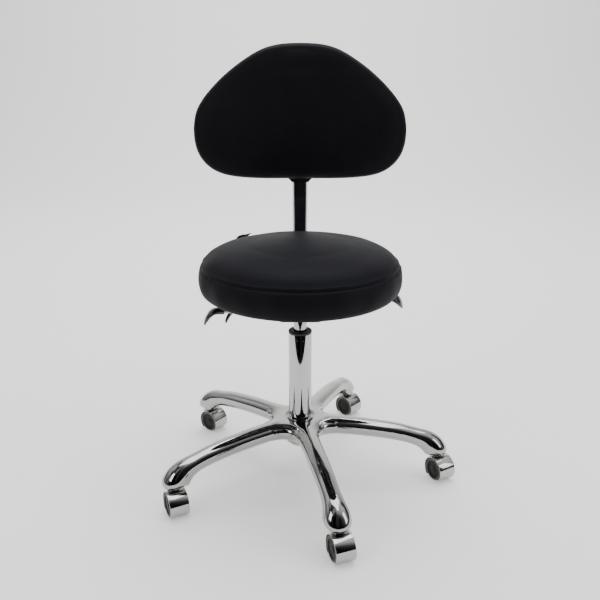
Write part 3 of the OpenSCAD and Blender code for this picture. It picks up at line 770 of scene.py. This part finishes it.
paddle("height_paddle", "height_lever", "height_lever_paddle", (-159, -22, 389), 11, True)
paddle("seat_tilt_paddle", "seat_lever", "seat_lever_paddle", (-118, 26, 378), -20, True)
paddle("back_tilt_paddle", "back_lever", "back_lever_paddle", (187, 70, 389), 33, False)


# ---------------------------------------------------------------- cushions
def swelling(src, voxel, pressure, cap, pin, frames=20, rounds=50):
    """Blows up a cloth copy of src. Returns a function that gives the smoothed movement at any points."""
    me = src.data.copy()
    ob = bpy.data.objects.new("sim_" + src.name, me)
    scene.collection.objects.link(ob)
    r = ob.modifiers.new("r", "REMESH")
    r.mode, r.voxel_size = "VOXEL", voxel
    me = modifier_applied(ob)
    start = coords(me)
    g = ob.vertex_groups.new(name="pin")
    for i, w in enumerate(pin(start)):
        if w > 0.01:
            g.add([i], float(w), "REPLACE")
    c = ob.modifiers.new("c", "CLOTH")
    s = c.settings
    s.quality = 6
    s.mass = 0.3
    s.tension_stiffness = s.compression_stiffness = 18
    s.shear_stiffness = 8
    s.bending_stiffness = 2.0
    s.use_pressure = True
    s.uniform_pressure_force = pressure
    s.effector_weights.gravity = 0
    c.collision_settings.use_collision = False
    s.vertex_group_mass = "pin"
    for fr in range(1, frames + 1):
        scene.frame_set(fr)
    dg = bpy.context.evaluated_depsgraph_get()
    got = coords(ob.evaluated_get(dg).to_mesh())
    scene.frame_set(1)
    ob.modifiers.clear()
    d = got - start
    L = np.linalg.norm(d, axis=1)
    d *= np.minimum(1, cap / np.maximum(L, 1e-9))[:, None]
    e = np.zeros(len(me.edges) * 2, np.int64)
    me.edges.foreach_get("vertices", e)
    e = e.reshape(-1, 2)
    count = np.maximum(np.bincount(e.ravel(), minlength=len(start)), 1)[:, None]
    for _ in range(rounds):
        t = np.zeros_like(d)
        np.add.at(t, e[:, 0], d[e[:, 1]])
        np.add.at(t, e[:, 1], d[e[:, 0]])
        d = 0.4 * d + 0.6 * t / count
    tree = KDTree(len(start))
    for i, p in enumerate(start):
        tree.insert(p, i)
    tree.balance()
    bpy.data.objects.remove(ob)

    def at(points):
        out = np.zeros_like(points)
        for k, p in enumerate(points):
            near = tree.find_n(p, 6)
            w = np.array([1 / (q[2] + 0.002) for q in near])
            out[k] = (w[:, None] * d[[q[1] for q in near]]).sum(0) / w.sum()
        return out

    return at


def waves(a, seed, n, lo, hi):
    """A sum of cosines round the circle, with wave numbers from lo to hi. Amplitude about 1."""
    rng = np.random.default_rng(seed)
    out = np.zeros_like(a)
    for _ in range(n):
        out += math.sqrt(2 / n) * np.cos(rng.integers(lo, hi + 1) * a + rng.uniform(0, 2 * math.pi)) * rng.uniform(0.6, 1.2)
    return out


SEAM_R, SEAM_Z = 206.0, 487.5


def seat_cushion():
    # half profile from the centre of the top, over the rim and the band, to the underside
    top = [(0, 534.0), (52, 533.2), (104, 530.2), (140, 526.2), (170, 519.4), (188.5, 510.2), (199.5, 499.2), (SEAM_R, SEAM_Z)]
    band = [(210, 477), (211.8, 463), (210.8, 449.5), (206.2, 436.4), (197, 428), (184, 424.8)]
    under = [(170, 424.1), (130, 423.9), (70, 423.8), (0, 423.8)]
    prof = spline(top, np.linspace(0, len(top) - 1, 52)) + spline([top[-1]] + band, np.linspace(0, len(band), 58))[1:] + spline([band[-1]] + under, np.linspace(0, len(under), 20))[1:]
    prof = [(max(0.0, p[0]), p[1]) for p in prof]
    steps = 300
    v, f = lathe(prof, steps, closed=False)
    ob = make("seat_cover", v, f, "vinyl", angle=180)
    moved = swelling(ob, 0.006, 3.0, 0.008,
                     pin=lambda p: np.maximum(np.clip((0.4285 - p[:, 2]) / 0.002, 0, 1),
                                              np.exp(-(((np.hypot(p[:, 0], p[:, 1]) - SEAM_R * MM) ** 2 + (p[:, 2] - SEAM_Z * MM) ** 2) / 0.007**2))))
    co = coords(ob.data)
    d = moved(co)
    rad = np.hypot(co[:, 0], co[:, 1])
    free = np.clip((co[:, 2] - 0.4270) / 0.008, 0, 1)[:, None]
    on_top = np.clip((SEAM_R * MM - rad) / 0.03, 0, 1) * (co[:, 2] > 0.492)
    d[:, 2] -= d[rad < 0.05, 2][co[rad < 0.05, 2] > 0.5].mean() * on_top  # the crown keeps its height
    d[:, 2] = np.clip(d[:, 2], -0.002, 0.0015)
    d[:, :2] *= 0.5
    set_coords(ob.data, co + d * free)
    co = coords(ob.data)
    rad = np.hypot(co[:, 0], co[:, 1])
    ang = np.arctan2(co[:, 1], co[:, 0])
    # each point's distance from the seam
    d = np.hypot(rad - SEAM_R * MM, co[:, 2] - SEAM_Z * MM)
    is_top = np.clip((co[:, 2] - 0.455) / 0.02, 0, 1)
    # the sewn seam pulls a groove, and gathers little puckers beside it
    # (a point's own way out is taken from the centre of the rim's curve)
    nx, nz = rad - 0.170, co[:, 2] - 0.462
    nl = np.maximum(np.hypot(nx, nz), 1e-6)
    nx, nz = nx / nl, nz / nl
    push = -0.0017 * np.exp(-((d / 0.0021) ** 2)) + 0.0007 * np.exp(-(((d - 0.006) / 0.004) ** 2))
    pucker = waves(ang, 3, 14, 40, 110) * 0.00022 * np.exp(-((d / 0.010) ** 2)) * (1 - np.exp(-((d / 0.0016) ** 2)))
    soft = waves(ang, 5, 8, 3, 14) * 0.0007 * np.exp(-((d / 0.040) ** 2))
    # broad, shallow dents where the foam has settled
    rng = np.random.default_rng(11)
    dents = np.zeros(len(co))
    for _ in range(9):
        cx, cy = rng.uniform(-0.15, 0.15, 2)
        s = rng.uniform(0.045, 0.09)
        dents += rng.uniform(-0.0006, 0.0003) * np.exp(-(((co[:, 0] - cx) ** 2 + (co[:, 1] - cy) ** 2) / s**2))
    dents *= np.clip((co[:, 2] - 0.505) / 0.01, 0, 1)
    band_wave = waves(ang, 9, 8, 5, 22) * 0.0005 * np.exp(-(((co[:, 2] - 0.455) / 0.022) ** 2)) * (rad > 0.2)
    push += pucker + soft + band_wave
    live = np.clip((co[:, 2] - 0.4262) / 0.004, 0, 1)
    push *= live
    ux, uy = np.cos(ang), np.sin(ang)
    co[:, 0] += push * nx * ux
    co[:, 1] += push * nx * uy
    co[:, 2] += push * nz + dents * live
    set_coords(ob.data, co)
    ob.data.shade_smooth()
    settle(ob, "seat", ["seat_cushion", "seat_board"])
    return ob


seat = seat_cushion()


def seam_line(name, point, count, body, r=0.0008, dash=0.6, mat="thread", samples=7):
    """Stitches laid in a seam: short rounded threads, end to end, with gaps. point(t) gives (place, way out) for t from 0 to 1."""
    vs, fs = [], []
    for k in range(count):
        t0, t1 = (k + (1 - dash) / 2) / count, (k + (1 + dash) / 2) / count
        rings = []
        for j in range(samples):
            t = t0 + (t1 - t0) * j / (samples - 1)
            p, out = point(t)
            q, _ = point(t + 1e-4)
            way = (q - p).normalized()
            side = way.cross(out).normalized()
            h = math.sin(math.pi * j / (samples - 1))
            rr = r * (0.35 + 0.65 * h)
            c = p + out * (0.0007 * h - 0.0002)
            rings.append([c + side * (rr * math.cos(u)) + out * (rr * math.sin(u)) for u in np.linspace(0, 2 * math.pi, 7)[:-1]])
        vs, fs = join((vs, fs), loft(rings))
    return make(name, vs, fs, mat, body, "black_vinyl", recalc=False, angle=180)


def seat_stitches():
    """A row of stitches on the top panel, beside the seam, lying on the finished cover."""
    dg = bpy.context.evaluated_depsgraph_get()
    tree = BVHTree.FromObject(seat, dg)

    def on(rad, z):
        def point(t):
            a = 2 * math.pi * t
            d = Vector((math.cos(a), math.sin(a), 0))
            probe = d * rad + Vector((0, 0, z))
            loc, nor, _, _ = tree.find_nearest(probe)
            if nor.dot(probe - Vector((0, 0, 0.45))) < 0:
                nor = -nor
            return loc, nor
        return point

    seam_line("seat_seam_stitches", on(0.2032, 0.4935), 310, "seat", r=0.00045, dash=0.68)


seat_stitches()


def seat_underside():
    """Under the seat: the stapled edge of the vinyl, and the dust cover over the board."""
    n = 240
    rings = []
    rng = np.random.default_rng(4)
    ph = rng.uniform(0, 6.28, 6)
    for r, z in ((0, 423.3), (60, 423.3), (120, 423.2), (148, 423.1), (158, 422.9), (163, 422.6), (166, 422.5), (167.5, 422.7), (167.6, 423.2), (166, 423.6), (120, 423.7), (0.0, 423.7)):
        ring = []
        for j in range(n):
            a = 2 * math.pi * j / n
            e = 1 + (0.004 * math.sin(24 * a + ph[0]) + 0.003 * math.sin(37 * a + ph[1])) * (r > 140)
            ring.append(Vector((r * e * math.cos(a), r * e * math.sin(a), z + (0.25 * math.sin(24 * a + ph[2]) if 140 < r < 166.5 and z < 423 else 0))) * MM)
        rings.append(ring)
    v, f = loft(rings, caps=False)
    make("seat_dust_cover", v, f, "nonwoven", "seat", "black_vinyl", angle=60)
    vs, fs = [], []
    for k in range(44):
        a = 2 * math.pi * (k + 0.5) / 44
        c = Vector((math.cos(a), math.sin(a), 0)) * 0.162
        t = Vector((-math.sin(a + 0.12 * math.sin(5 * k)), math.cos(a + 0.12 * math.sin(5 * k)), 0))
        o = Vector((t.y, -t.x, 0))
        rings = []
        for s, z in ((-5.4, 423.6), (-5.4, 422.3), (-5.0, 421.9), (5.0, 421.9), (5.4, 422.3), (5.4, 423.6)):
            p = c + t * s * MM + Vector((0, 0, z * MM))
            rings.append([p + o * (0.55 * MM * x) + (Vector((0, 0, 0.3 * MM * y)) if abs(s) < 5.2 else t * (0.3 * MM * y)) for x, y in ((-1, -1), (1, -1), (1, 1), (-1, 1))])
        vs, fs = join((vs, fs), loft(rings))
    make("seat_staples", vs, fs, "steel", "seat", "steel")


seat_underside()


def seat_tab():
    """A small plain tab caught in the seam at the back."""
    a0 = math.radians(131.5)
    rings = []
    for k in range(15):
        s = (k / 14 - 0.5) * 0.034
        a = a0 + s / 0.205
        d = Vector((math.cos(a), math.sin(a), 0))
        base = d * 0.2055 + Vector((0, 0, 0.4880))
        mid = d * 0.2050 + Vector((0, 0, 0.5110 + 0.0004 * math.sin(k * 0.9)))
        end = d * 0.1850 + Vector((0, 0, 0.5168 + 0.0005 * math.sin(k * 0.7)))
        ring = []
        up = []
        for u in np.linspace(0, 1, 9):
            p = base * (1 - u) ** 2 + mid * 2 * u * (1 - u) + end * u * u
            up.append(p)
        for j, p in enumerate(up):
            ring.append(p + Vector((0, 0, 0.0006)) + d * 0.0004)
        for j, p in reversed(list(enumerate(up))):
            ring.append(p - Vector((0, 0, 0.0006)) - d * 0.0004)
        rings.append(ring)
    v, f = loft(rings)
    make("seat_sewn_tab", v, f, "thread", "seat", "black_vinyl", angle=50)


seat_tab()

BACK_Z, BACK_MID = 636.0, 143.5
BACK_HALF = [(0, 287), (40, 285), (76, 277), (112, 259), (155, 229), (195, 192), (223, 155), (233, 118), (233, 84), (225, 54), (207, 30), (180, 13), (142, 4), (80, 0), (0, 0)]


def back_outline(n=360):
    """The back cushion's outline as radii about its middle, evenly spaced in angle."""
    half = [tuple(p) for p in spline(BACK_HALF, np.linspace(0, len(BACK_HALF) - 1, 400))]
    pts = np.array([(x, z - BACK_MID) for x, z in half] + [(-x, z - BACK_MID) for x, z in half[::-1][1:-1]])
    ang = np.arctan2(pts[:, 1], pts[:, 0])
    rad = np.hypot(pts[:, 0], pts[:, 1])
    o = np.argsort(ang)
    ang, rad = ang[o], rad[o]
    rad = rad * 1.022  # the stuffed cover stands a little proud of the foam
    a = np.linspace(-math.pi, math.pi, n, endpoint=False)
    r = np.interp(a, np.r_[ang - 2 * math.pi, ang, ang + 2 * math.pi], np.r_[rad, rad, rad])
    for _ in range(6):
        r = (np.roll(r, 1) + 2 * r + np.roll(r, -1)) / 4
    return a, r


BA, BRAD = back_outline()


def back_cushion():
    # (share of the inner part, inset from the outline in mm, y): front middle, over the edge, to the back
    rows = [(0.0, 60, 159.2), (0.35, 60, 159.4), (0.7, 60, 160.2), (1, 60, 161.8), (1, 46, 163.4), (1, 33, 165.8), (1, 21.5, 169.6), (1, 12.2, 175), (1, 5.4, 182),
            (1, 1.5, 190.5), (1, 0, 199.5), (1, 1.5, 207.6), (1, 5.8, 213.4), (1, 12, 217.2), (1, 20, 219.4), (1, 31, 220.2), (1, 60, 220.3), (0.6, 60, 220.3), (0.0, 60, 220.3)]
    t = np.concatenate([np.linspace(0, 3, 26, endpoint=False), np.linspace(3, 15, 104, endpoint=False), np.linspace(15, 18, 14)])
    pts = spline(rows, t)
    rings = []
    for share, inset, y in pts:
        share = min(max(share, 0.0), 1.0)
        inset = max(inset, 0.0)
        ring = []
        for a, r in zip(BA, BRAD):
            inner = (r - inset) * (0.35 + 0.65 * share) + 95 * 0.65 * (1 - share)
            q = max(0.0, share * inner)
            ring.append((q * math.cos(a), y, BACK_Z + BACK_MID + q * math.sin(a)))
        rings.append(ring)
    arr = np.array(rings)
    v, f = loft([[Vector(p) * MM for p in ring] for ring in arr], caps=False)
    ob = make("back_cover", v, f, "vinyl", angle=180)
    moved = swelling(ob, 0.006, 3.2, 0.008, pin=lambda p: np.clip((p[:, 1] - 0.2165) / 0.002, 0, 1))
    co = coords(ob.data)
    d = moved(co)
    mid = (np.hypot(co[:, 0], co[:, 2] - (BACK_Z + BACK_MID) * MM) < 0.04) & (co[:, 1] < 0.19)
    face = np.clip((0.180 - co[:, 1]) / 0.018, 0, 1)
    d[:, 1] -= d[mid, 1].mean() * face  # the crown keeps its depth
    d[:, 1] = np.clip(d[:, 1], -0.003, 0.003)
    d[:, 0] = np.clip(d[:, 0], -0.001, 0.001)
    d[:, 2] = np.clip(d[:, 2], -0.001, 0.001)
    free = np.clip((0.2165 - co[:, 1]) / 0.008, 0, 1)[:, None]
    set_coords(ob.data, co + d * free)
    co = coords(ob.data)
    x, z = co[:, 0], co[:, 2] - (BACK_Z + BACK_MID) * MM
    ang = np.arctan2(z, x)
    rad = np.hypot(x, z)
    edge = np.interp(ang, np.r_[BA - 2 * math.pi, BA, BA + 2 * math.pi], np.r_[BRAD, BRAD, BRAD]) * MM
    # the cover is pulled over the edge and gathers a little round the back, most at the tight corners
    inn = edge - rad
    y = co[:, 1]
    k = np.exp(-(((y - 0.213) / 0.010) ** 2)) * (inn < 0.03)
    pucker = waves(ang, 21, 16, 30, 80) * 0.00035 * k
    face = np.clip((0.185 - y) / 0.01, 0, 1)
    rng = np.random.default_rng(8)
    soft = np.zeros(len(co))
    for _ in range(10):
        cx, cz, s = rng.uniform(-0.17, 0.17), rng.uniform(-0.1, 0.1), rng.uniform(0.04, 0.09)
        soft += rng.uniform(-0.0007, 0.0006) * np.exp(-(((x - cx) ** 2 + (z - cz) ** 2) / s**2))
    co[:, 0] += pucker * np.cos(ang)
    co[:, 2] += pucker * np.sin(ang)
    co[:, 1] += soft * face
    # a sewn seam round the back edge
    dseam = np.hypot(inn - 0.0062, y - 0.2136)
    g = -0.0013 * np.exp(-((dseam / 0.0020) ** 2)) * (y < 0.2190)
    co[:, 0] += g * np.cos(ang)
    co[:, 2] += g * np.sin(ang)
    co[:, 1] -= np.abs(g) * 0.6
    set_coords(ob.data, co)
    ob.data.shade_smooth()
    settle(ob, "backrest", ["back_cushion", "back_board"])
    return ob


back = back_cushion()

# ---------------------------------------------------------------- CAD nodes that stay
KEEP = {
    "castor_stems": "steel", "stem_grip_rings": "steel", "lift_thrust_bearing": "steel", "lift_piston_rod": "steel",
    "lift_retaining_clip": "steel", "release_pin": "steel", "mechanism_housing": "powder", "pivot_pins": "steel",
    "lever_bushes": "plastic", "height_lever_rod": "steel", "seat_lever_rod": "steel", "back_lever_rod": "steel",
    "seat_plate": "powder", "seat_bolts": "steel", "seat_board": "wood", "back_arm_bracket": "powder",
    "back_board": "wood", "back_screws": "steel",
}
KEEP.update({f"castor_{i}_axle": "steel" for i in range(1, 6)})
for name, mat in KEEP.items():
    ob = N[name]
    for s in ob.material_slots:
        s.link = "OBJECT"
        s.material = M[mat]
    if not ob.material_slots:
        ob.data.materials.append(M[mat])

# ---------------------------------------------------------------- floor, light, surroundings
sweep = [(-0.95, 0.0), (3.0, 0.0)] + [(3.0 + 2.0 * math.sin(a), 2.0 - 2.0 * math.cos(a)) for a in np.linspace(0, math.pi / 2, 25)[1:]] + [(5.0, 6.0)]
me = bpy.data.meshes.new("floor")
me.from_pydata([(x, y, z) for y, z in sweep for x in (-7, 7)], [], [(2 * i, 2 * i + 1, 2 * i + 3, 2 * i + 2) for i in range(len(sweep) - 1)])
me.shade_smooth()
floor = bpy.data.objects.new("floor", me)
scene.collection.objects.link(floor)
fm = bpy.data.materials.new("pale_floor")
fm.use_nodes = True
fp = next(n for n in fm.node_tree.nodes if n.type == "BSDF_PRINCIPLED")
fp.inputs["Base Color"].default_value = (0.93, 0.93, 0.93, 1)
fp.inputs["Roughness"].default_value = 0.75
fp.inputs["Specular IOR Level"].default_value = 0.1
fp.inputs["Emission Color"].default_value = (1, 1, 1, 1)
fp.inputs["Emission Strength"].default_value = 0.42
me.materials.append(fm)

world = bpy.data.worlds.new("studio")
scene.world = world
world.use_nodes = True
nt = world.node_tree
nt.nodes.clear()
out = nt.nodes.new("ShaderNodeOutputWorld")
tc = nt.nodes.new("ShaderNodeTexCoord")
sep = nt.nodes.new("ShaderNodeSeparateXYZ")
nt.links.new(tc.outputs["Generated"], sep.inputs[0])
ramp = nt.nodes.new("ShaderNodeValToRGB")
mr = nt.nodes.new("ShaderNodeMapRange")
mr.inputs["From Min"].default_value = -1
nt.links.new(sep.outputs["Z"], mr.inputs["Value"])
nt.links.new(mr.outputs["Result"], ramp.inputs["Fac"])
e = ramp.color_ramp.elements
e[0].position, e[0].color = 0.0, (0.30, 0.29, 0.28, 1)
e[1].position, e[1].color = 1.0, (0.95, 0.97, 1.0, 1)
for p, c in ((0.46, (0.30, 0.295, 0.29)), (0.52, (0.22, 0.22, 0.225)), (0.64, (0.30, 0.30, 0.31)), (0.78, (0.55, 0.56, 0.58))):
    el = e.new(p)
    el.color = (*c, 1)
# dark and light upright bands, as a room's doors and windows give
nz = nt.nodes.new("ShaderNodeTexNoise")
nz.inputs["Scale"].default_value = 2.1
nz.inputs["Detail"].default_value = 2.0
mp = nt.nodes.new("ShaderNodeMapping")
mp.inputs["Scale"].default_value = (1.0, 1.0, 0.22)
nt.links.new(tc.outputs["Generated"], mp.inputs["Vector"])
nt.links.new(mp.outputs["Vector"], nz.inputs["Vector"])
band = nt.nodes.new("ShaderNodeValToRGB")
be = band.color_ramp.elements
be[0].position, be[0].color = 0.40, (0.12, 0.12, 0.12, 1)
be[1].position, be[1].color = 0.58, (1.7, 1.7, 1.7, 1)
nt.links.new(nz.outputs["Fac"], band.inputs["Fac"])
mul = nt.nodes.new("ShaderNodeMix")
mul.data_type = "RGBA"
mul.blend_type = "MULTIPLY"
mul.inputs["Factor"].default_value = 1.0
nt.links.new(ramp.outputs["Color"], mul.inputs["A"])
nt.links.new(band.outputs["Color"], mul.inputs["B"])
front = nt.nodes.new("ShaderNodeValToRGB")
fe = front.color_ramp.elements
fe[0].position, fe[0].color = 0.02, (0.05, 0.05, 0.05, 1)
fe[1].position, fe[1].color = 0.60, (1, 1, 1, 1)
for p, c in ((0.20, 0.07), (0.34, 0.45)):
    el = fe.new(p)
    el.color = (c, c, c, 1)
fr = nt.nodes.new("ShaderNodeMapRange")
fr.inputs["From Min"].default_value = -1
nt.links.new(sep.outputs["Y"], fr.inputs["Value"])
nt.links.new(fr.outputs["Result"], front.inputs["Fac"])
mul2 = nt.nodes.new("ShaderNodeMix")
mul2.data_type = "RGBA"
mul2.blend_type = "MULTIPLY"
mul2.inputs["Factor"].default_value = 1.0
nt.links.new(mul.outputs["Result"], mul2.inputs["A"])
nt.links.new(front.outputs["Color"], mul2.inputs["B"])
bg = nt.nodes.new("ShaderNodeBackground")
bg.inputs["Strength"].default_value = 1.0
nt.links.new(mul2.outputs["Result"], bg.inputs["Color"])
white = nt.nodes.new("ShaderNodeBackground")
white.inputs["Color"].default_value = (1, 1, 1, 1)
white.inputs["Strength"].default_value = 1.0
lp = nt.nodes.new("ShaderNodeLightPath")
mix = nt.nodes.new("ShaderNodeMixShader")
nt.links.new(lp.outputs["Is Camera Ray"], mix.inputs["Fac"])
nt.links.new(bg.outputs[0], mix.inputs[1])
nt.links.new(white.outputs[0], mix.inputs[2])
nt.links.new(mix.outputs[0], out.inputs["Surface"])


def area(name, loc, target, size, power, color=(1, 1, 1)):
    li = bpy.data.lights.new(name, "AREA")
    li.shape = "RECTANGLE"
    li.size, li.size_y = size
    li.energy = power
    li.color = color
    ob = bpy.data.objects.new(name, li)
    scene.collection.objects.link(ob)
    ob.location = loc
    ob.rotation_euler = (Vector(target) - Vector(loc)).to_track_quat("-Z", "Y").to_euler()
    return ob


area("overhead", (0.1, 0.5, 3.2), (0, 0.3, 0.2), (3.0, 2.6), 82)
area("backdrop", (0, 2.3, 3.6), (0, 4.8, 1.2), (4.0, 1.0), 110)
area("key_left", (-2.2, -1.6, 1.9), (0, 0, 0.5), (1.0, 1.6), 22, (1.0, 0.99, 0.97))
area("fill_right", (2.3, -0.9, 1.4), (0, 0, 0.4), (0.8, 1.5), 12, (0.97, 0.98, 1.0))
